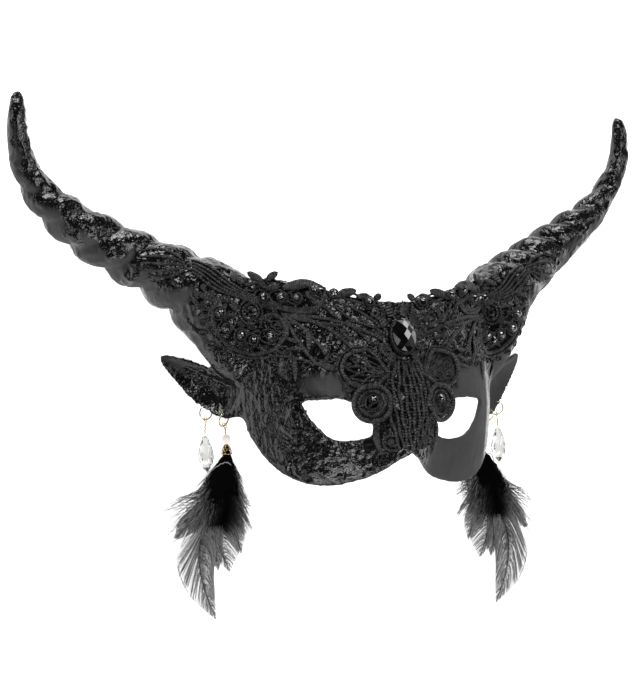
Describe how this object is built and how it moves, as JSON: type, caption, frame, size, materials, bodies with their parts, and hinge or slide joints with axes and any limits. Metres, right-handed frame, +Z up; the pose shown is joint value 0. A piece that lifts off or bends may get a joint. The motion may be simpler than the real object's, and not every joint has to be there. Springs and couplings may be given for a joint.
{
  "type": "horned devil eye mask",
  "caption": "Half mask with spiral horns and goat ears, black lace over the brow, a faceted centre stone, and earrings with crystal drops and feathers.",
  "frame": {"origin": "on the table, under the middle of the whole part's box", "axes": "+Z up from the table, with the mask lying face up; +Y from the chin towards the horn tips; +X to the viewer's right across the face"},
  "size_m": [0.4112, 0.298, 0.0854],
  "materials": {
    "shell": "papier-mache under wrinkled black lacquer, semi-gloss with brighter worn crests",
    "lace": "matte black corded guipure embroidery",
    "black_stone": "opaque black faceted glass, polished",
    "crystal": "clear cut crystal, polished",
    "silver_wire": "bright silver-coloured wire",
    "gold_wire": "bright gold-coloured wire",
    "pearl": "warm white nacre, soft gloss",
    "feather": "soft black and grey feather barbs, matte"
  },
  "bodies": {
    "root": {"mask_body": "shell", "lace_applique": "lace", "centre_gem": "black_stone", "stone_left_1": "black_stone", "stone_left_2": "black_stone", "stone_left_3": "black_stone", "stone_left_4": "black_stone", "stone_left_5": "black_stone", "stone_left_6": "black_stone", "stone_left_7": "black_stone", "stone_left_8": "black_stone", "stone_left_9": "black_stone", "stone_left_10": "black_stone", "stone_left_11": "black_stone", "stone_left_12": "black_stone", "stone_right_1": "black_stone", "stone_right_2": "black_stone", "stone_right_3": "black_stone", "stone_right_4": "black_stone", "stone_right_5": "black_stone", "stone_right_6": "black_stone", "stone_right_7": "black_stone", "stone_right_8": "black_stone", "stone_right_9": "black_stone", "stone_right_10": "black_stone", "stone_right_11": "black_stone", "stone_right_12": "black_stone", "silver_ring_left": "silver_wire", "crystal_bail_left": "gold_wire", "crystal_drop_left": "crystal", "gold_ring_left": "gold_wire", "eye_pin_left": "gold_wire", "pearl_left": "pearl", "filigree_cap_left": "gold_wire", "feather_bundle_left": "feather", "silver_ring_right": "silver_wire", "crystal_bail_right": "gold_wire", "crystal_drop_right": "crystal", "gold_ring_right": "gold_wire", "eye_pin_right": "gold_wire", "pearl_right": "pearl", "filigree_cap_right": "gold_wire", "feather_bundle_right": "feather"}
  },
  "joints": []
}
